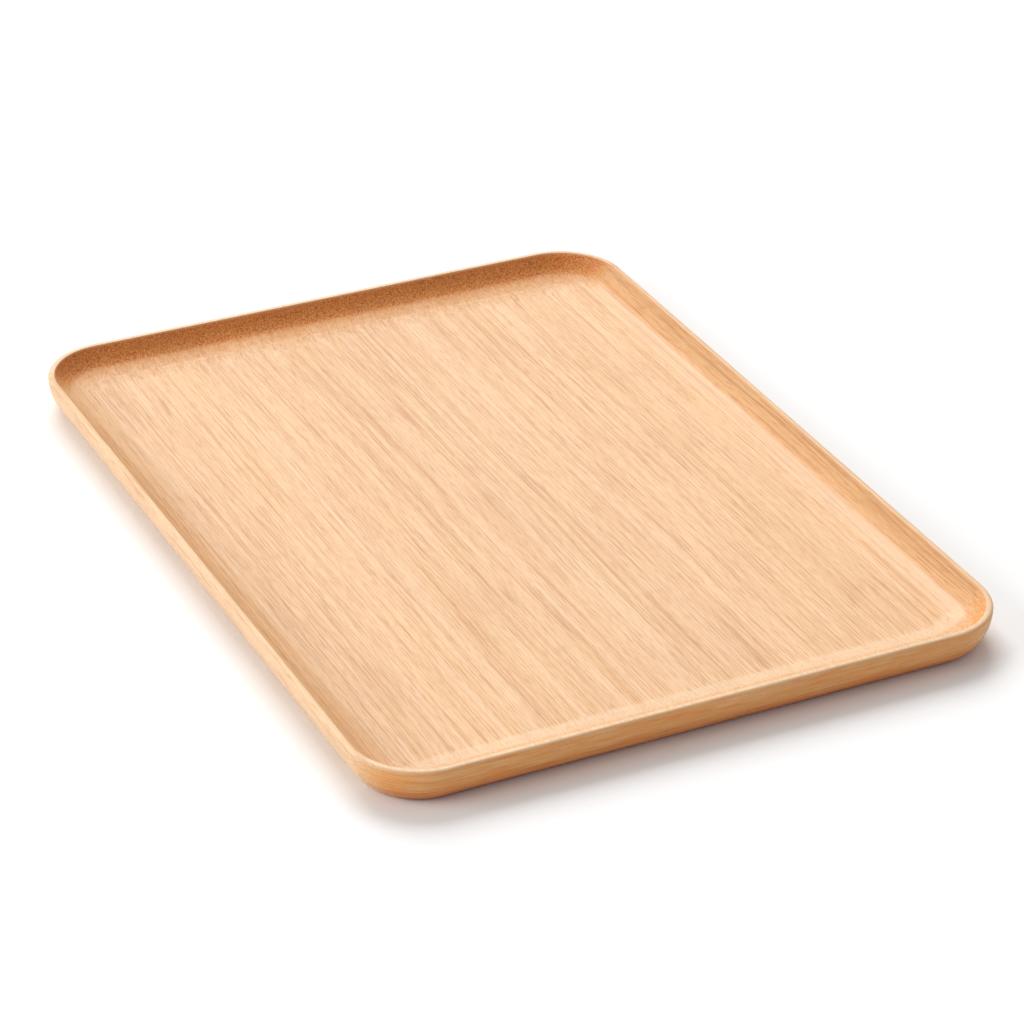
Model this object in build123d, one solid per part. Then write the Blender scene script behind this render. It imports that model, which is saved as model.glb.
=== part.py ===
from build123d import *
from math import cos, radians, sin, sqrt, tan
import os

# A rectangular serving tray, milled out of a board that is glued up from bamboo strips. The strips
# lie in three layers, all lengthwise, and the joints of each layer are half a strip off from those
# of the next. Millimetres. X is across the tray, Y along it and Z up. The origin is the middle of
# the underside. "Front" is the -Y end and "left" is the -X side.

# Outline
tray_width = 300.0           # X, over the widest part of the rim
tray_length = 400.0          # Y
tray_height = 18.0           # Z, underside to the top of the rim
corner_radius = 32.0         # of the outline, seen from above

# Dish
dish_depth = 11.0            # top of the rim down to the floor
wall_draft = 20.0            # degrees that the inner wall leans back from upright
cove_radius = 12.0           # hollow curve at the foot of the wall
blend_radius = 72.0          # much flatter curve that carries the cove on into the floor
blend_slope = 15.0           # degrees, where the cove and the flatter curve meet
rim_width = 3.0              # over the top of the wall, before its edges are rounded
rim_outer_round = 1.5
rim_inner_round = 0.6

# Scooped underside
foot_inset = 7.5             # how far the underside stands in from the widest outline
foot_edge_round = 2.5

# Strips
strips_per_layer = 12
lower_layer_top = 8.0        # glue line between the lower and the middle layer
middle_layer_top = 13.0      # glue line between the middle and the top layer

# Worked out from the above
strip_width = tray_width / strips_per_layer
half_width = tray_width / 2
half_length = tray_length / 2
floor_height = tray_height - dish_depth
widest_height = tray_height - rim_outer_round
scoop_radius = (widest_height**2 + foot_inset**2) / (2 * foot_inset)
wall_slope = 90 - wall_draft
blend_reach = blend_radius * sin(radians(blend_slope))
blend_rise = blend_radius * (1 - cos(radians(blend_slope)))
cove_reach = cove_radius * (sin(radians(wall_slope)) - sin(radians(blend_slope)))
cove_rise = cove_radius * (cos(radians(blend_slope)) - cos(radians(wall_slope)))
wall_reach = (dish_depth - cove_rise - blend_rise) * tan(radians(wall_draft))
floor_inset = rim_width + wall_reach + cove_reach + blend_reach    # outline to the flat floor
floor_corner_radius = corner_radius - floor_inset
section_inset = corner_radius - 0.5 * floor_corner_radius   # how far in the swept section reaches
slab_inset = corner_radius - 0.6 * floor_corner_radius      # how far in the middle slab starts


def section_point(inset, height):
    """A point of the wall's section, which stands across the middle of the right side."""
    return (half_width - inset, height)


def scoop_inset(height):
    """How far the scooped outer face stands in from the widest outline at a height."""
    return scoop_radius - sqrt(scoop_radius**2 - (widest_height - height)**2)


def wall_section():
    """The wall with its cove and a stretch of the floor, as an upright face."""
    middle_height = widest_height / 2
    scoop = ThreePointArc(
        section_point(foot_inset, 0),
        section_point(scoop_inset(middle_height), middle_height),
        section_point(0, widest_height),
    )
    rim_round = RadiusArc(
        section_point(0, widest_height),
        section_point(rim_outer_round, tray_height),
        -rim_outer_round,
    )
    blend = JernArc(section_point(floor_inset, floor_height), (1, 0), blend_radius, blend_slope)
    cove = JernArc(blend @ 1, blend % 1, cove_radius, wall_slope - blend_slope)
    inner_wall = Line(cove @ 1, section_point(rim_width, tray_height))
    rim_top = Line(inner_wall @ 1, section_point(rim_outer_round, tray_height))
    underneath = Polyline(
        section_point(floor_inset, floor_height),
        section_point(section_inset, floor_height),
        section_point(section_inset, 0),
        section_point(foot_inset, 0),
    )
    section = make_face([scoop, rim_round, rim_top, inner_wall, cove, blend, underneath])
    rounded_corners = [
        (rim_width, tray_height, rim_inner_round),
        (foot_inset, 0, foot_edge_round),
    ]
    for inset, height, radius in rounded_corners:
        corner = section.vertices().sort_by_distance(section_point(inset, height))[0]
        section = fillet(corner, radius)
    return Plane.XZ * section


def quarter_path():
    """A quarter of the widest outline, from the middle of the right side to that of the back."""
    corner_x = half_width - corner_radius
    corner_y = half_length - corner_radius
    side = Line((half_width, 0), (half_width, corner_y))
    corner = CenterArc((corner_x, corner_y), corner_radius, 0, 90)
    end = Line((corner_x, half_length), (0, half_length))
    return Wire([side, corner, end])


def milled_board():
    """The finished shape of the whole tray, before it is divided into strips."""
    wall = sweep(wall_section(), path=quarter_path())
    wall += mirror(wall, Plane.YZ)
    wall += mirror(wall, Plane.XZ)
    slab = Box(
        tray_width - 2 * slab_inset,
        tray_length - 2 * slab_inset,
        floor_height,
        align=(Align.CENTER, Align.CENTER, Align.MIN),
    )
    return wall + slab


def strip_blank(left_edge, right_edge, bottom, top):
    """An uncut strip between two X places and two heights, as long as the board."""
    width = right_edge - left_edge
    blank = Box(width, tray_length, top - bottom, align=(Align.MIN, Align.CENTER, Align.MIN))
    return Pos(left_edge, 0, bottom) * blank


def pieces_of(board, blank):
    """What milling leaves of one strip, from front to back: one solid, or a block at each end."""
    return (board & blank).solids().sort_by(Axis.Y)


def strip_edges(staggered):
    """The X places of a layer's joints and its two outer sides."""
    shift = strip_width / 2 if staggered else strip_width
    inner = [shift - half_width + n * strip_width for n in range(strips_per_layer)]
    return [-half_width] + [x for x in inner if x < half_width] + [half_width]


def layer_pieces(board, layer, bottom, top, staggered):
    """Every piece of one layer, by name. Strips are numbered from left to right."""
    edges = strip_edges(staggered)
    pieces = {}
    for number, (left_edge, right_edge) in enumerate(zip(edges, edges[1:]), start=1):
        found = pieces_of(board, strip_blank(left_edge, right_edge, bottom, top))
        if len(found) == 1:
            names = [f"{layer}_strip_{number:02d}"]
        else:
            names = [f"{layer}_front_block_{number:02d}", f"{layer}_back_block_{number:02d}"]
        if len(found) != len(names):
            raise ValueError(f"{names[0]}: {len(found)} solids")
        pieces.update(zip(names, found))
    return pieces


def tray():
    """All the pieces of the tray, by name."""
    board = milled_board()
    pieces = layer_pieces(board, "lower", 0, lower_layer_top, staggered=False)
    pieces |= layer_pieces(board, "middle", lower_layer_top, middle_layer_top, staggered=True)
    pieces |= layer_pieces(board, "top", middle_layer_top, tray_height, staggered=False)
    return pieces


os.makedirs("parts", exist_ok=True)
for name, solid in tray().items():
    export_step(solid, f"parts/{name}.step")
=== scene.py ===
"""The bamboo serving tray, finished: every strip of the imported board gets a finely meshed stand-in
and a solid bamboo grain that runs through it, on a pale floor under soft studio light."""

import random
from math import asin, ceil, cos, pi, radians, sin, sqrt, tan

import bmesh
import bpy
from mathutils import Matrix, Vector


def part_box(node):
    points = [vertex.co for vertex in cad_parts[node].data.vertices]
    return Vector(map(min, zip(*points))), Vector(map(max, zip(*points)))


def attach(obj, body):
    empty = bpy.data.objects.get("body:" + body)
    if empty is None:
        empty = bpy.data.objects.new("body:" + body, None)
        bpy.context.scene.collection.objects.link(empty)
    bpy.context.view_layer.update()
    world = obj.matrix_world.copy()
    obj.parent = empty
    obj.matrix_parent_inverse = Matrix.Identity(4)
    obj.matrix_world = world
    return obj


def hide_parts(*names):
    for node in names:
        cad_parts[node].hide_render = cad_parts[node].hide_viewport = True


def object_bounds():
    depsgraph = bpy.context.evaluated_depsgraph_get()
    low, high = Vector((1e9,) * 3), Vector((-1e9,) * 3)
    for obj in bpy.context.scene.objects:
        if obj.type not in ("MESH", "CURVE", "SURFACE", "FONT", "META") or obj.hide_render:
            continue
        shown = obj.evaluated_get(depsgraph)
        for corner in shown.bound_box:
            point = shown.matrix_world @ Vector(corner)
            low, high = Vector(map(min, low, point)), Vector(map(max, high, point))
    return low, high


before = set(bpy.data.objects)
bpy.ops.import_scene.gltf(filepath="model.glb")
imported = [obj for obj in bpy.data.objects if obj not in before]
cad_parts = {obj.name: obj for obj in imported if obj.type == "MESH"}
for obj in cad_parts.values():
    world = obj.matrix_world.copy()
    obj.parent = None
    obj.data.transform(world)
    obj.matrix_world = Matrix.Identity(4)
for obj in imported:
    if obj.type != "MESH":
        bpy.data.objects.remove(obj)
cad_low, cad_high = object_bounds()

MM = 0.001
SEED = 7

# ---------------------------------------------------------------- the tray's dimensions
# The overall size and the strips come from the frame. The milled section repeats the CAD design's.

HALF_WIDTH = cad_high.x
HALF_LENGTH = cad_high.y
HEIGHT = cad_high.z
CORNER_RADIUS = 32 * MM
WALL_DRAFT = radians(20)
COVE_RADIUS = 12 * MM
BLEND_RADIUS = 72 * MM
BLEND_SLOPE = radians(15)
RIM_WIDTH = 3 * MM
RIM_OUTER_ROUND = 1.5 * MM
RIM_INNER_ROUND = 0.6 * MM
FOOT_INSET = 7.5 * MM
FOOT_EDGE_ROUND = 2.5 * MM
FLOOR_HEIGHT = HEIGHT - 11 * MM
LOWER_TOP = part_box("lower_strip_02")[1].z
MIDDLE_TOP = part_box("middle_strip_01")[1].z
STRIP_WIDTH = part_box("lower_strip_02")[1].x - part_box("lower_strip_02")[0].x
CORNER_X = HALF_WIDTH - CORNER_RADIUS
CORNER_Y = HALF_LENGTH - CORNER_RADIUS

WIDEST_HEIGHT = HEIGHT - RIM_OUTER_ROUND
SCOOP_RADIUS = (WIDEST_HEIGHT**2 + FOOT_INSET**2) / (2 * FOOT_INSET)
BLEND_RISE = BLEND_RADIUS * (1 - cos(BLEND_SLOPE))
COVE_REACH = COVE_RADIUS * (cos(WALL_DRAFT) - sin(BLEND_SLOPE))
COVE_RISE = COVE_RADIUS * (cos(BLEND_SLOPE) - sin(WALL_DRAFT))
COVE_TOP_HEIGHT = FLOOR_HEIGHT + BLEND_RISE + COVE_RISE
COVE_TOP_INSET = RIM_WIDTH + (HEIGHT - COVE_TOP_HEIGHT) * tan(WALL_DRAFT)
COVE_CENTRE = (
    COVE_TOP_INSET + COVE_RADIUS * cos(WALL_DRAFT),
    COVE_TOP_HEIGHT + COVE_RADIUS * sin(WALL_DRAFT),
)
FLOOR_INSET = COVE_TOP_INSET + COVE_REACH + BLEND_RADIUS * sin(BLEND_SLOPE)
BLEND_CENTRE = (FLOOR_INSET, FLOOR_HEIGHT + BLEND_RADIUS)

# ---------------------------------------------------------------- how finely the mesh follows them

LONGEST_STEP_ACROSS = 2.6 * MM
LONGEST_STEP_ALONG = 4 * MM
CORNER_STEPS = 36
FOOT_STEPS = 6
SCOOP_STEPS = (8, 6, 5)          # in the lower, the middle and the top layer
RIM_OUTER_STEPS = 8
RIM_INNER_STEPS = 5
COVE_STEPS = (6, 10)             # over and under the upper glue line
BLEND_STEPS = (5, 8)             # over and under the lower glue line
UNDERSIDE_RINGS = 6
FLOOR_RINGS = 1
ROUNDING = 0.01                  # a step may be longer by as small a part as this
TOUCHING = 1e-7                  # points this near to each other are one
SMOOTH_UP_TO = radians(30)       # edges that turn further stay sharp


# ---------------------------------------------------------------- the milled section
# A section point is (inset, height): how far it stands in from the widest outline, and its height.


def arc(centre, radius, start, end, steps):
    """Points of an arc with both its ends, by angle from the inset axis to the height axis."""
    turns = [start + (end - start) * n / steps for n in range(steps + 1)]
    return [(centre[0] + radius * cos(a), centre[1] + radius * sin(a)) for a in turns]


def scoop_angle(height):
    """Where the scooped outer face reaches a height, as an angle about its centre."""
    return pi + asin((WIDEST_HEIGHT - height) / SCOOP_RADIUS)


def hollow_angle(centre, radius, height):
    """Where a hollow curve reaches a height on its way down, as an angle about its centre."""
    return -pi + asin((centre[1] - height) / radius)


def foot_round():
    """The rounded edge between the underside and the scooped face."""
    centre_height = FOOT_EDGE_ROUND
    reach = SCOOP_RADIUS - FOOT_EDGE_ROUND
    drop = WIDEST_HEIGHT - centre_height
    centre = (SCOOP_RADIUS - sqrt(reach**2 - drop**2), centre_height)
    meets_scoop = pi + asin(drop / reach)
    return arc(centre, FOOT_EDGE_ROUND, 1.5 * pi, meets_scoop, FOOT_STEPS), meets_scoop


def inner_rim_round():
    """The rounded edge between the top of the rim and the leaning inner wall."""
    reach = RIM_INNER_ROUND * tan(pi / 4 - WALL_DRAFT / 2)
    centre = (RIM_WIDTH - reach, HEIGHT - RIM_INNER_ROUND)
    return arc(centre, RIM_INNER_ROUND, pi / 2, WALL_DRAFT, RIM_INNER_STEPS)


def wall_section():
    """The skin of the wall, from the flat underside out, up, over the rim and down to the floor."""
    foot, scoop_start = foot_round()
    scoop_centre = (SCOOP_RADIUS, WIDEST_HEIGHT)
    points = list(foot)
    stops = [scoop_start, scoop_angle(LOWER_TOP), scoop_angle(MIDDLE_TOP), pi]
    for start, end, steps in zip(stops, stops[1:], SCOOP_STEPS):
        points += arc(scoop_centre, SCOOP_RADIUS, start, end, steps)[1:]
    rim_centre = (RIM_OUTER_ROUND, WIDEST_HEIGHT)
    points += arc(rim_centre, RIM_OUTER_ROUND, pi, pi / 2, RIM_OUTER_STEPS)[1:]
    rim = inner_rim_round()
    points.append(((RIM_OUTER_ROUND + rim[0][0]) / 2, HEIGHT))
    points += rim
    cove_top = (COVE_TOP_INSET, COVE_TOP_HEIGHT)
    points.append(((rim[-1][0] + cove_top[0]) / 2, (rim[-1][1] + cove_top[1]) / 2))
    points.append(cove_top)
    middle_joint = hollow_angle(COVE_CENTRE, COVE_RADIUS, MIDDLE_TOP)
    lower_joint = hollow_angle(BLEND_CENTRE, BLEND_RADIUS, LOWER_TOP)
    cove_foot = -pi / 2 - BLEND_SLOPE
    curves = [
        (COVE_CENTRE, COVE_RADIUS, -pi + WALL_DRAFT, middle_joint, COVE_STEPS[0]),
        (COVE_CENTRE, COVE_RADIUS, middle_joint, cove_foot, COVE_STEPS[1]),
        (BLEND_CENTRE, BLEND_RADIUS, cove_foot, lower_joint, BLEND_STEPS[0]),
        (BLEND_CENTRE, BLEND_RADIUS, lower_joint, -pi / 2, BLEND_STEPS[1]),
    ]
    for centre, radius, start, end, steps in curves:
        points += arc(centre, radius, start, end, steps)[1:]
    return points


# ---------------------------------------------------------------- the whole tray as one fine mesh


def spaced(stops, longest):
    """Every stop, and evenly spaced values between them no further apart than longest."""
    values = [stops[0]]
    for low, high in zip(stops, stops[1:]):
        steps = ceil((high - low) / longest - ROUNDING)
        values += [low + (high - low) * n / steps for n in range(1, steps + 1)]
    return values


def straight_values():
    """The mesh lines across and along the tray between its corners, with one on every joint."""
    half_strip = STRIP_WIDTH / 2
    joints_each_side = int(CORNER_X / half_strip)
    joints = [n * half_strip for n in range(-joints_each_side, joints_each_side + 1)]
    across = spaced([-CORNER_X, *joints, CORNER_X], LONGEST_STEP_ACROSS)
    along = spaced([-CORNER_Y, CORNER_Y], LONGEST_STEP_ALONG)
    return across, along


def outline_stations(across, along):
    """Round the widest outline: (point, outward direction) pairs, without a repeat at the end."""
    stations = [(Vector((x, -HALF_LENGTH)), Vector((0, -1))) for x in across]
    stations += corner_stations(CORNER_X, -CORNER_Y, -pi / 2)
    stations += [(Vector((HALF_WIDTH, y)), Vector((1, 0))) for y in along]
    stations += corner_stations(CORNER_X, CORNER_Y, 0)
    stations += [(Vector((x, HALF_LENGTH)), Vector((0, 1))) for x in reversed(across)]
    stations += corner_stations(-CORNER_X, CORNER_Y, pi / 2)
    stations += [(Vector((-HALF_WIDTH, y)), Vector((-1, 0))) for y in reversed(along)]
    stations += corner_stations(-CORNER_X, -CORNER_Y, pi)
    return stations


def corner_stations(x, y, start):
    """The stations inside one round corner, between the ends of its two sides."""
    found = []
    for n in range(1, CORNER_STEPS):
        turn = start + pi / 2 * n / CORNER_STEPS
        out = Vector((cos(turn), sin(turn)))
        found.append((Vector((x, y)) + CORNER_RADIUS * out, out))
    return found


def flat_insets(first, steps):
    """Insets of the rings that carry a flat face on from the wall to the corner centres."""
    return [first + (CORNER_RADIUS - first) * n / steps for n in range(1, steps + 1)]


def tray_mesh():
    """The closed skin of the tray: rings round the wall, rings on both flats, and two grids."""
    across, along = straight_values()
    stations = outline_stations(across, along)
    section = wall_section()
    under = [(inset, 0.0) for inset in flat_insets(section[0][0], UNDERSIDE_RINGS)]
    floor = [(inset, FLOOR_HEIGHT) for inset in flat_insets(section[-1][0], FLOOR_RINGS)]
    rings = under[::-1] + section + floor
    bm = bmesh.new()
    grid = [
        [bm.verts.new((*(point - out * inset), height)) for point, out in stations]
        for inset, height in rings
    ]
    count = len(stations)
    for ring, following in zip(grid, grid[1:]):
        for n in range(count):
            m = (n + 1) % count
            bm.faces.new((ring[n], ring[m], following[m], following[n]))
    for height, facing_up in ((0.0, False), (FLOOR_HEIGHT, True)):
        add_grid(bm, across, along, height, facing_up)
    bmesh.ops.remove_doubles(bm, verts=bm.verts, dist=TOUCHING)
    bmesh.ops.recalc_face_normals(bm, faces=bm.faces)
    return bm


def add_grid(bm, across, along, height, facing_up):
    """The middle of a flat face, between the four corner centres."""
    rows = [[bm.verts.new((x, y, height)) for x in across] for y in along]
    for row, following in zip(rows, rows[1:]):
        for n in range(len(across) - 1):
            corners = [row[n], row[n + 1], following[n + 1], following[n]]
            bm.faces.new(corners if facing_up else corners[::-1])


# ---------------------------------------------------------------- cutting it into strips


def keep_side(bm, point, direction):
    """Cuts away everything that lies further along a direction than a point, and closes the cut."""
    geometry = bm.verts[:] + bm.edges[:] + bm.faces[:]
    bmesh.ops.bisect_plane(
        bm, geom=geometry, dist=TOUCHING, plane_co=point, plane_no=direction, clear_outer=True
    )
    bmesh.ops.holes_fill(bm, edges=[e for e in bm.edges if e.is_boundary], sides=0)


def slabs(whole, joints):
    """The tray cut at every joint of a layer, from left to right. Each slab has its full height."""
    rest = whole.copy()
    for x in joints:
        slab = rest.copy()
        keep_side(slab, (x, 0, 0), (1, 0, 0))
        yield slab
        keep_side(rest, (x, 0, 0), (-1, 0, 0))
    yield rest


def layer_joints(staggered):
    """The X places of the joints between a layer's strips."""
    first = -HALF_WIDTH + (STRIP_WIDTH / 2 if staggered else STRIP_WIDTH)
    count = round((-2 * first) / STRIP_WIDTH) + 1
    return [first + n * STRIP_WIDTH for n in range(count)]


def end_of(slab, sign):
    """The part of a milled-through slab on one side of the middle: -1 for front, 1 for back."""
    bm = slab.copy()
    other = [v for v in bm.verts if v.co.y * sign < 0]
    bmesh.ops.delete(bm, geom=other, context="VERTS")
    return bm


def layer_meshes(whole, layer, bottom, top, staggered):
    """Each CAD node of a layer with its fine mesh."""
    for number, slab in enumerate(slabs(whole, layer_joints(staggered)), start=1):
        if bottom > 0:
            keep_side(slab, (0, 0, bottom), (0, 0, -1))
        if top < HEIGHT:
            keep_side(slab, (0, 0, top), (0, 0, 1))
        strip = f"{layer}_strip_{number:02d}"
        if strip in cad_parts:
            yield strip, slab
        else:
            yield f"{layer}_front_block_{number:02d}", end_of(slab, -1)
            yield f"{layer}_back_block_{number:02d}", end_of(slab, 1)


# ---------------------------------------------------------------- the look of bamboo
# The fibres run along Y. Each noise has its number of cells per metre: across, along and up. Its
# value lies around 0.5 and seldom leaves 0.3 to 0.7.

SWAY_CELLS = (3.0, 5.0, 3.0)
BROAD_CELLS = (52.0, 1.5, 52.0)
BAND_CELLS = (150.0, 2.0, 150.0)
BUNDLE_CELLS = (420.0, 4.0, 420.0)
FIBRE_CELLS = (1100.0, 9.0, 1100.0)
DASH_CELLS = (2400.0, 120.0, 2400.0)
PORE_CELLS = (1500.0, 400.0, 1700.0)
STREAK_CELLS = (22.0, 30.0, 520.0)
SCRATCH_CELLS = (70.0, 70.0, 2000.0)
SWAY_REACH = 1.5 * MM            # how far the fibres sway to either side

# How much oil the surface has drunk, with painted light and shade added in, runs from 0, pale straw,
# to 1, dark amber. The colours are
# linear red, green and blue.
OIL_COLOURS = [
    (0.0, (0.86, 0.58, 0.345)),
    (0.2, (0.785, 0.465, 0.222)),
    (0.4, (0.76, 0.365, 0.12)),
    (0.6, (0.74, 0.275, 0.06)),
    (0.8, (0.64, 0.195, 0.034)),
    (1.0, (0.48, 0.115, 0.018)),
]
BASE_OIL = 0.03
BROAD_OIL = 0.12
BAND_OIL = 0.07
BUNDLE_OIL = 0.07
# painted light: the outside of the long walls is made paler
OUTER_SIDE_PAINTED_LIGHT = -0.18
# painted shade in the hollows along the long walls, inside
HOLLOW_PAINTED_SHADE = 0.14
DOT_OIL = (0.36, 0.98)
STREAK_OIL = (0.26, 0.62)
SCRATCH_OIL = (-0.12, 0.12)
FOOT_PAINTED_SHADE = 0.35            # painted shade, added at the foot of the outer face
FRONT_WALL_PAINTED_HIGHLIGHT = 0.3         # painted highlight: oil taken off on the inside of the front wall

FIBRE_SHADE = (0.74, 0.61, 0.51, 1.0)
# the pale of the worn rim and of the painted highlight in the hollows
WORN_AND_HIGHLIGHT_COLOUR = (0.84, 0.64, 0.43, 1.0)
# the colour of the painted shade at the foot
PAINTED_CONTACT_SHADE = (0.48, 0.30, 0.20, 1.0)

# The span of a noise over which what it stands for comes on.
BUNDLE_SPAN = (0.45, 0.75)
LINE_BUNDLE_SPAN = (0.35, 0.60)
DASH_SPAN = (0.48, 0.70)
DOT_SPAN = (0.36, 0.62)
STREAK_SPAN = (0.3, 0.7)
SCRATCH_SPAN = (0.35, 0.65)
ROUGHNESS_SPAN = (0.3, 0.7)
LINE_LEVEL = 0.5                 # a fibre's line runs where the noise is near this
LINE_HALF_WIDTH = 0.07

LINE_STRENGTH = (0.6, 1.0)       # outside the bundles, and in them
DASH_STRENGTH = 0.6
LINES_ON_ENDS = 0.25             # what is left of both on cut ends
ROUGHNESS = (0.44, 0.58)
DASH_RELIEF = 0.5
BUNDLE_RELIEF = 0.5
LINE_RELIEF = -0.4
RELIEF_HEIGHT = 0.2 * MM

# How far a face leans to a side, from where a thing begins or has ended to where it is full.
OUTER_SIDE_LEAN = (0.02, 0.7)
HOLLOW_BEGINS = (0.10, 0.30)
HOLLOW_ENDS = (0.90, 0.50)

# Where a thing comes on: the place where it begins, and the place from which it is full.
RIM_HEIGHTS = (HEIGHT - 1.2 * MM, HEIGHT - 0.2 * MM)
# heights of the painted shade at the foot of the outer face
FOOT_PAINTED_SHADE_HEIGHTS = (10 * MM, 1 * MM)
# heights of the painted highlight low in the hollows
HOLLOW_HIGHLIGHT_HEIGHTS = (10.1 * MM, 9.6 * MM)
# heights of the painted shade at the foot
PAINTED_CONTACT_SHADE_HEIGHTS = (3.5 * MM, 0.6 * MM)
WORN_RIM_ENDS = (HALF_LENGTH - 30 * MM, HALF_LENGTH - 10 * MM)    # along Y from the middle
IN_TO_OUT = (-4 * MM, 0.0)       # the normal along the flat place: negative where it faces in
CUT_BEGINS = 0.06                # how far the normal leans to an end, where fibre ends first show
ALL_CUT = (0.45, 0.65)           # and where nothing else does, inside the dish and outside it

# How much rim wear, painted highlight in the hollows and painted shade at the foot there is at the
# most. The rim's wear is given for the sides and for the ends.
HOLLOW_PAINTED_HIGHLIGHT = 0.4
RIM_WEAR = (0.15, 0.5)
MOST_PAINTED_CONTACT_SHADE = 0.85

# A painted highlight lies on the hollows at the front and on the right, and pales the inside of the
# front wall. Their faces lean this way.
HIGHLIGHT_DIRECTION = (-0.3, 0.95, 0.0)
HIGHLIGHT_BEGINS = (0.05, 0.08)       # how far they lean, from none of it to all of it
HIGHLIGHT_ENDS = (0.20, 0.15)
FRONT_WALL_LEAN = (0.0, 0.4)

# Every strip has its own place in the grain, in metres, and its own tone.
GRAIN_SHIFT = {"x": 0.5, "y": 2.0, "z": 0.5}
TONE_RANGE = (0.965, 1.02)
MOST_WARMTH = 0.02


class Nodes:
    """A short way to write a node tree: every call adds what it says and returns one output."""

    def __init__(self, material):
        material.use_nodes = True
        self.tree = material.node_tree
        self.tree.nodes.clear()

    def add(self, kind, settings=None, inputs=None, output=0):
        node = self.tree.nodes.new(kind)
        for name, value in (settings or {}).items():
            setattr(node, name, value)
        for name, value in (inputs or {}).items():
            socket = node.inputs[name]
            if isinstance(value, bpy.types.NodeSocket):
                self.tree.links.new(value, socket)
            else:
                socket.default_value = value
        return node.outputs[output] if node.outputs else None

    def math(self, operation, first, second=0.0, third=0.0):
        inputs = {0: first, 1: second, 2: third}
        return self.add("ShaderNodeMath", {"operation": operation}, inputs)

    def vector(self, operation, first, second):
        return self.add("ShaderNodeVectorMath", {"operation": operation}, {0: first, 1: second})

    def dot(self, first, second):
        """How far one direction goes along another."""
        inputs = {0: first, 1: second}
        return self.add("ShaderNodeVectorMath", {"operation": "DOT_PRODUCT"}, inputs, output=1)

    def part(self, vector, axis):
        """One of a vector's three numbers: axis is 0, 1 or 2."""
        return self.add("ShaderNodeSeparateXYZ", inputs={0: vector}, output=axis)

    def noise(self, place, cells, detail, rough=0.5):
        """Noise with so many cells per metre along each axis."""
        scaled = self.vector("MULTIPLY", place, cells)
        inputs = {"Vector": scaled, "Scale": 1.0, "Detail": detail, "Roughness": rough}
        return self.add("ShaderNodeTexNoise", {}, inputs)

    def range(self, value, span, result=(0.0, 1.0)):
        """Goes from the first result to the second while a value crosses a span."""
        inputs = {
            "Value": value, "From Min": span[0], "From Max": span[1],
            "To Min": result[0], "To Max": result[1],
        }
        return self.add("ShaderNodeMapRange", {}, inputs)

    def between(self, amount, first, second):
        """A number between two others: the first where the amount is 0."""
        return self.add("ShaderNodeMix", {}, {0: amount, 2: first, 3: second})

    def mix(self, amount, first, second, blend="MIX"):
        """A colour mix. The colour sockets of this node are numbers 6 and 7, and its output 2."""
        settings = {"data_type": "RGBA", "blend_type": blend}
        return self.add("ShaderNodeMix", settings, {0: amount, 6: first, 7: second}, output=2)

    def own(self, name):
        """A number that is stored on the object as a property."""
        settings = {"attribute_type": "OBJECT", "attribute_name": name}
        return self.add("ShaderNodeAttribute", settings, output=2)


NORMAL_OUTPUT, OBJECT_OUTPUT = 1, 3     # of the texture coordinate node


class Surface:
    """Where a point of the bamboo is, and which way the face looks there, as sockets."""

    def __init__(self, n):
        self.place = n.add("ShaderNodeTexCoord", output=OBJECT_OUTPUT)
        self.height = n.part(self.place, 2)
        self.rim = n.range(self.height, RIM_HEIGHTS)
        self.from_middle = n.math("ABSOLUTE", n.part(self.place, 1))
        normal = n.add("ShaderNodeTexCoord", output=NORMAL_OUTPUT)
        self.to_side = n.math("ABSOLUTE", n.part(normal, 0))
        to_end = n.math("ABSOLUTE", n.part(normal, 1))
        facing_out = n.dot(normal, n.vector("MULTIPLY", self.place, (1.0, 1.0, 0.0)))
        self.inside = n.range(facing_out, IN_TO_OUT, (1.0, 0.0))
        self.outside = n.math("SUBTRACT", 1.0, self.inside)
        # Outside, the cut ends begin more gradually as a corner turns.
        all_cut = n.range(facing_out, IN_TO_OUT, ALL_CUT)
        self.ends = n.range(to_end, (CUT_BEGINS, all_cut))
        # How far the face leans the painted highlight's way.
        self.highlight_lean = n.dot(normal, HIGHLIGHT_DIRECTION)


class Grain:
    """The noises that the grain is made of, as sockets."""

    def __init__(self, n, surface):
        grain = grain_place(n, surface)
        self.broad = n.noise(grain, BROAD_CELLS, detail=2.0)
        self.band = n.noise(grain, BAND_CELLS, detail=2.0, rough=0.6)
        self.bundle = n.noise(grain, BUNDLE_CELLS, detail=2.0, rough=0.6)
        self.fibre = n.noise(grain, FIBRE_CELLS, detail=1.0)
        self.dash = n.noise(grain, DASH_CELLS, detail=1.0)
        self.pores = n.noise(grain, PORE_CELLS, detail=2.0, rough=0.6)
        self.streak = n.noise(surface.place, STREAK_CELLS, detail=3.0, rough=0.6)
        self.scratch = n.noise(surface.place, SCRATCH_CELLS, detail=1.0)


def grain_place(n, surface):
    """The place in the strip's own stretch of bamboo, where the fibres sway a little."""
    own_shift = [n.own("shift_" + axis) for axis in GRAIN_SHIFT]
    shift = n.add("ShaderNodeCombineXYZ", inputs=dict(enumerate(own_shift)))
    grain = n.vector("ADD", surface.place, shift)
    sway = n.noise(grain, SWAY_CELLS, detail=1.0)
    sway = n.math("MULTIPLY_ADD", sway, 2 * SWAY_REACH, -SWAY_REACH)
    return n.vector("ADD", grain, n.add("ShaderNodeCombineXYZ", inputs={0: sway, 2: sway}))


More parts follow.
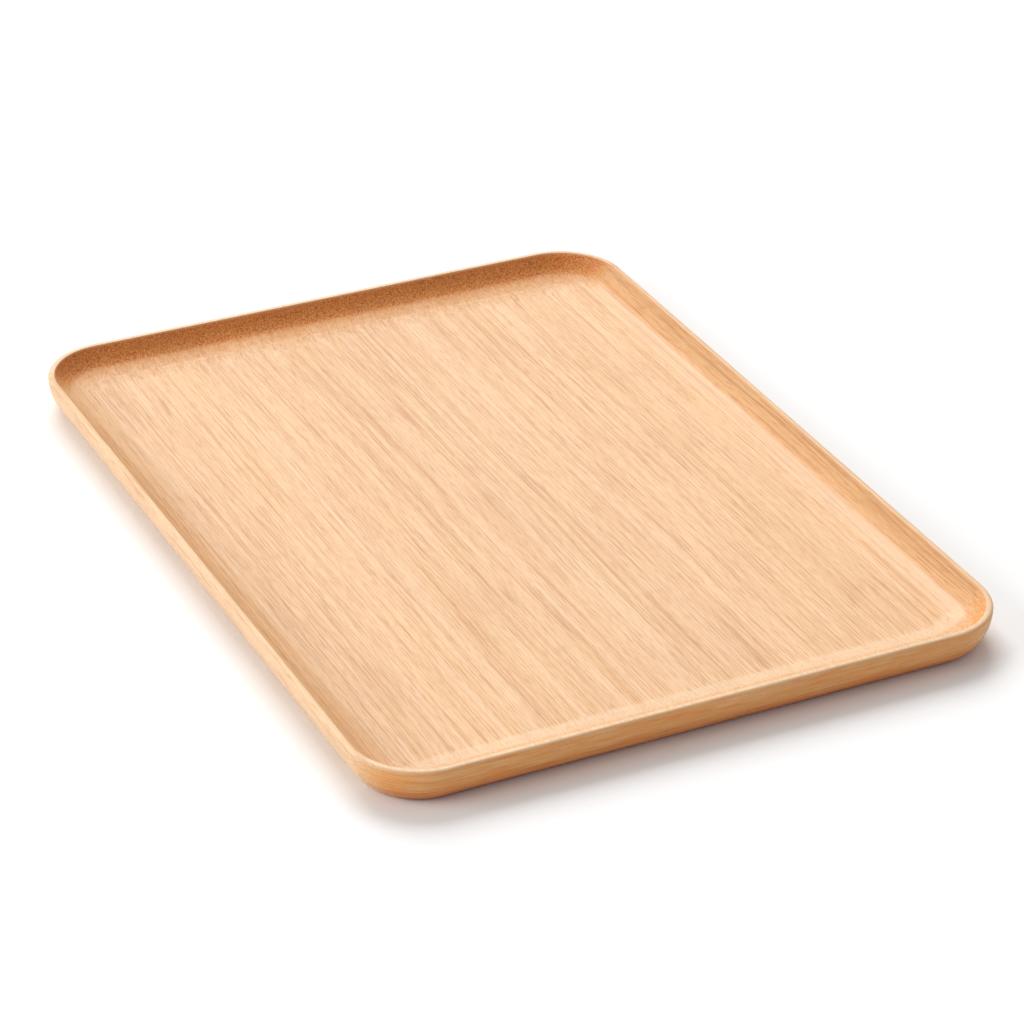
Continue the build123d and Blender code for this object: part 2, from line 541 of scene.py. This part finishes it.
def oil_and_painted_light_along(n, surface, grain):
    """The oil on faces along the grain: broad bands, and more in dark bundles of fibre, with painted
    light on the outer long walls and painted shade in the hollows inside.
    """
    oil = n.math("MULTIPLY_ADD", grain.broad, BROAD_OIL, BASE_OIL)
    oil = n.math("MULTIPLY_ADD", grain.band, BAND_OIL, oil)
    oil = n.math("ADD", oil, n.range(grain.bundle, BUNDLE_SPAN, (0.0, BUNDLE_OIL)))
    # The outside of the long walls is a little paler: painted light.
    sides = n.range(surface.to_side, OUTER_SIDE_LEAN)
    oil = n.math("MULTIPLY_ADD", n.math("MULTIPLY", sides, surface.outside), OUTER_SIDE_PAINTED_LIGHT, oil)
    # The hollow along them, inside, is a little darker than the floor: painted shade.
    hollow_begins = n.range(surface.to_side, HOLLOW_BEGINS)
    hollow_ends = n.range(surface.to_side, HOLLOW_ENDS)
    hollow = n.math("MULTIPLY", hollow_begins, hollow_ends)
    return n.math("MULTIPLY_ADD", n.math("MULTIPLY", hollow, surface.inside), HOLLOW_PAINTED_SHADE, oil)


def oil_and_painted_light_on_ends(n, surface, grain):
    """The oil on cut ends: dots inside the dish, paler on the inside of the front wall with a
    painted highlight, and long streaks on the scooped outer face, darker towards its foot with
    painted shade.
    """
    dots = n.range(grain.pores, DOT_SPAN, DOT_OIL)
    # Painted highlight: the dots are paler on the inside of the front wall.
    front_highlight = n.range(surface.highlight_lean, FRONT_WALL_LEAN, (0.0, FRONT_WALL_PAINTED_HIGHLIGHT))
    dots = n.math("SUBTRACT", dots, front_highlight)
    streaks = n.range(grain.streak, STREAK_SPAN, STREAK_OIL)
    streaks = n.math("ADD", streaks, n.range(grain.scratch, SCRATCH_SPAN, SCRATCH_OIL))
    # Painted shade: the outer face darkens towards its foot.
    low = n.range(surface.height, FOOT_PAINTED_SHADE_HEIGHTS, (0.0, FOOT_PAINTED_SHADE))
    return n.between(surface.inside, n.math("ADD", streaks, low), dots)


def oil_colour(n, oil):
    """The colour that goes with an amount of oil."""
    socket = n.add("ShaderNodeValToRGB", inputs={0: oil})
    stops = socket.node.color_ramp.elements
    stops[0].position, stops[1].position = OIL_COLOURS[0][0], OIL_COLOURS[-1][0]
    for amount, _ in OIL_COLOURS[1:-1]:
        stops.new(amount)
    for stop, (_, colour) in zip(stops, OIL_COLOURS):
        stop.color = (*colour, 1.0)
    return socket


def fibre_lines(n, grain):
    """Single fibres as thin lines, strongest in the dark bundles."""
    off_line = n.math("ABSOLUTE", n.math("SUBTRACT", grain.fibre, LINE_LEVEL))
    line = n.range(off_line, (0.0, LINE_HALF_WIDTH), (1.0, 0.0))
    return n.math("MULTIPLY", line, n.range(grain.bundle, LINE_BUNDLE_SPAN, LINE_STRENGTH))


def rim_wear_and_painted_highlight(n, surface):
    """How far the rim is worn pale, and a painted highlight low in the hollows along two of the
    walls.
    """
    highlight_begins = n.range(surface.highlight_lean, HIGHLIGHT_BEGINS)
    highlight_ends = n.range(surface.highlight_lean, HIGHLIGHT_ENDS)
    hollow_highlight = n.math("MULTIPLY", highlight_begins, highlight_ends)
    hollow_highlight = n.math("MULTIPLY", hollow_highlight, n.range(surface.height, HOLLOW_HIGHLIGHT_HEIGHTS, (0.0, HOLLOW_PAINTED_HIGHLIGHT)))
    rim_wear = n.range(surface.from_middle, WORN_RIM_ENDS, RIM_WEAR)
    return n.math("MAXIMUM", hollow_highlight, n.math("MULTIPLY", surface.rim, rim_wear))


def bamboo_colour(n, surface, grain, line):
    """The oiled colour, with fibres, rim wear, a painted highlight, painted shade at the foot and
    the strip's own tone over it.
    """
    oil = n.between(surface.ends, oil_and_painted_light_along(n, surface, grain), oil_and_painted_light_on_ends(n, surface, grain))
    colour = oil_colour(n, oil)
    # Short thin lines lie between the long ones. Both are faint on cut ends.
    thin = n.math("ADD", line, n.range(grain.dash, DASH_SPAN, (0.0, DASH_STRENGTH)))
    thin = n.math("MULTIPLY", thin, n.range(surface.ends, (0.0, 1.0), (1.0, LINES_ON_ENDS)))
    colour = n.mix(thin, colour, FIBRE_SHADE, "MULTIPLY")
    # The worn rim and the painted highlight take one pale colour.
    colour = n.mix(rim_wear_and_painted_highlight(n, surface), colour, WORN_AND_HIGHLIGHT_COLOUR)
    # Painted shade darkens the cut ends just over the underside, where the tray meets the floor.
    low = n.range(surface.height, PAINTED_CONTACT_SHADE_HEIGHTS, (0.0, MOST_PAINTED_CONTACT_SHADE))
    contact_shade = n.math("MULTIPLY", surface.ends, low)
    colour = n.mix(contact_shade, colour, PAINTED_CONTACT_SHADE, "MULTIPLY")
    own_tone = [n.own(name) for name in ("tone", "tone_green", "tone_blue")]
    tone = n.add("ShaderNodeCombineColor", inputs=dict(enumerate(own_tone)))
    return n.mix(1.0, colour, tone, "MULTIPLY")


def bamboo_relief(n, surface, grain, line):
    """A slight unevenness: fibres and the dots of cut ends stand up, and thin lines are sunk."""
    height = n.math("MULTIPLY", grain.bundle, BUNDLE_RELIEF)
    height = n.math("MULTIPLY_ADD", grain.dash, DASH_RELIEF, height)
    height = n.math("MULTIPLY_ADD", line, LINE_RELIEF, height)
    height = n.math("ADD", height, n.math("MULTIPLY", surface.ends, grain.pores))
    inputs = {"Strength": 0.3, "Distance": RELIEF_HEIGHT, "Height": height}
    return n.add("ShaderNodeBump", inputs=inputs)


def bamboo(name):
    """Oiled bamboo, solid through the strip: its fibres show as fine lines on faces along Y, and
    as dots or streaks where a face turns to the tray's ends."""
    material = bpy.data.materials.new(name)
    n = Nodes(material)
    surface = Surface(n)
    grain = Grain(n, surface)
    line = fibre_lines(n, grain)
    shader = n.add("ShaderNodeBsdfPrincipled", inputs={
        "Base Color": bamboo_colour(n, surface, grain, line),
        "Normal": bamboo_relief(n, surface, grain, line),
        "Roughness": n.range(grain.bundle, ROUGHNESS_SPAN, ROUGHNESS),
        "IOR": 1.45,
        "Sheen Weight": 0.12,
        "Sheen Roughness": 0.4,
    })
    n.add("ShaderNodeOutputMaterial", inputs={"Surface": shader})
    return material


# ---------------------------------------------------------------- the pieces


def add_piece(node, mesh_builder, material, numbers):
    """One strip of the tray, shown in place of its CAD node."""
    mesh = bpy.data.meshes.new(node)
    mesh_builder.to_mesh(mesh)
    mesh.polygons.foreach_set("use_smooth", [True] * len(mesh.polygons))
    mesh.set_sharp_from_angle(angle=SMOOTH_UP_TO)
    mesh.materials.append(material)
    piece = bpy.data.objects.new("bamboo_" + node, mesh)
    bpy.context.scene.collection.objects.link(piece)
    for axis, reach in GRAIN_SHIFT.items():
        piece["shift_" + axis] = numbers.uniform(-reach, reach)
    tone = numbers.uniform(*TONE_RANGE)
    warmth = numbers.uniform(-MOST_WARMTH, MOST_WARMTH)
    piece["tone"] = tone
    piece["tone_green"] = tone - warmth / 2
    piece["tone_blue"] = tone - warmth
    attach(piece, "root")
    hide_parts(node)


def add_tray():
    """All the strips of the three layers."""
    numbers = random.Random(SEED)
    whole = tray_mesh()
    layers = [
        ("lower", 0.0, LOWER_TOP, False),
        ("middle", LOWER_TOP, MIDDLE_TOP, True),
        ("top", MIDDLE_TOP, HEIGHT, False),
    ]
    for layer, bottom, top, staggered in layers:
        slot = "bamboo_" + layer
        material = bamboo(slot)
        for node, mesh_builder in layer_meshes(whole, layer, bottom, top, staggered):
            add_piece(node, mesh_builder, material, numbers)
            mesh_builder.free()


# ---------------------------------------------------------------- camera, floor and light

CAMERA_TARGET = Vector((0.2 * MM, -14.5 * MM, HEIGHT / 2))
CAMERA_DISTANCE = 1.691
CAMERA_AZIMUTH = -26.77
CAMERA_ELEVATION = 30.15
CAMERA_ROLL = 1.0
CAMERA_LENS = 132.8              # in millimetres, for a sensor of this width
SENSOR_WIDTH = 36
CAMERA_SIGHT = 20                # how far it sees, in metres

FLOOR_REACH = 6                  # from the middle to its edges, in metres
FLOOR_COLOUR = (0.94, 0.94, 0.94, 1.0)
SURROUND_COLOUR = (1.0, 1.0, 1.0, 1.0)
SURROUND_STRENGTH = 0.44

# Each softbox: where it hangs, the side of its square, and its power in watts.
SOFTBOXES = {
    "key_softbox": ((0.87, 3.50, 3.75), 3.5, 228),
    "left_softbox": ((-2.4, 0.3, 1.2), 1.6, 36),
}


def facing(azimuth, elevation, roll):
    """The right, up and back directions of a camera. Azimuth 0 looks along +Y."""
    a, e, r = radians(azimuth), radians(elevation), radians(roll)
    back = Vector((sin(a) * cos(e), -cos(a) * cos(e), sin(e)))
    right = Vector((cos(a), sin(a), 0))
    up = back.cross(right)
    return cos(r) * right + sin(r) * up, cos(r) * up - sin(r) * right, back


def add_camera():
    """A long lens from the front left, a little over the tray."""
    right, up, back = facing(CAMERA_AZIMUTH, CAMERA_ELEVATION, CAMERA_ROLL)
    data = bpy.data.cameras.new("camera")
    data.sensor_width = SENSOR_WIDTH
    data.lens = CAMERA_LENS
    data.clip_end = CAMERA_SIGHT
    camera = bpy.data.objects.new("camera", data)
    bpy.context.scene.collection.objects.link(camera)
    turn = Matrix((right, up, back)).transposed().to_4x4()
    camera.matrix_world = Matrix.Translation(CAMERA_TARGET + CAMERA_DISTANCE * back) @ turn
    bpy.context.scene.camera = camera


def add_floor():
    """A wide plain pale floor that the tray stands on."""
    bm = bmesh.new()
    bmesh.ops.create_grid(bm, x_segments=8, y_segments=8, size=FLOOR_REACH)
    mesh = bpy.data.meshes.new("floor")
    bm.to_mesh(mesh)
    bm.free()
    material = bpy.data.materials.new("floor")
    n = Nodes(material)
    shader = n.add("ShaderNodeBsdfPrincipled", inputs={
        "Base Color": FLOOR_COLOUR, "Roughness": 0.9, "Specular IOR Level": 0.1})
    n.add("ShaderNodeOutputMaterial", inputs={"Surface": shader})
    mesh.materials.append(material)
    floor = bpy.data.objects.new("floor", mesh)
    bpy.context.scene.collection.objects.link(floor)


def add_softbox(name, place, size, power):
    """A square area light at a place, turned to the tray."""
    data = bpy.data.lights.new(name, "AREA")
    data.shape = "SQUARE"
    data.size = size
    data.energy = power
    lamp = bpy.data.objects.new(name, data)
    bpy.context.scene.collection.objects.link(lamp)
    lamp.location = place
    lamp.rotation_mode = "QUATERNION"
    lamp.rotation_quaternion = Vector(place).to_track_quat("Z", "Y")


def add_light():
    """A high softbox behind the tray, a weaker one on the left, and an even pale surround."""
    for name, (place, size, power) in SOFTBOXES.items():
        add_softbox(name, place, size, power)
    world = bpy.data.worlds.new("surround")
    world.use_nodes = True
    background = world.node_tree.nodes["Background"]
    background.inputs["Color"].default_value = SURROUND_COLOUR
    background.inputs["Strength"].default_value = SURROUND_STRENGTH
    bpy.context.scene.world = world
    bpy.context.scene.view_settings.view_transform = "Standard"


add_tray()
add_camera()
add_floor()
add_light()
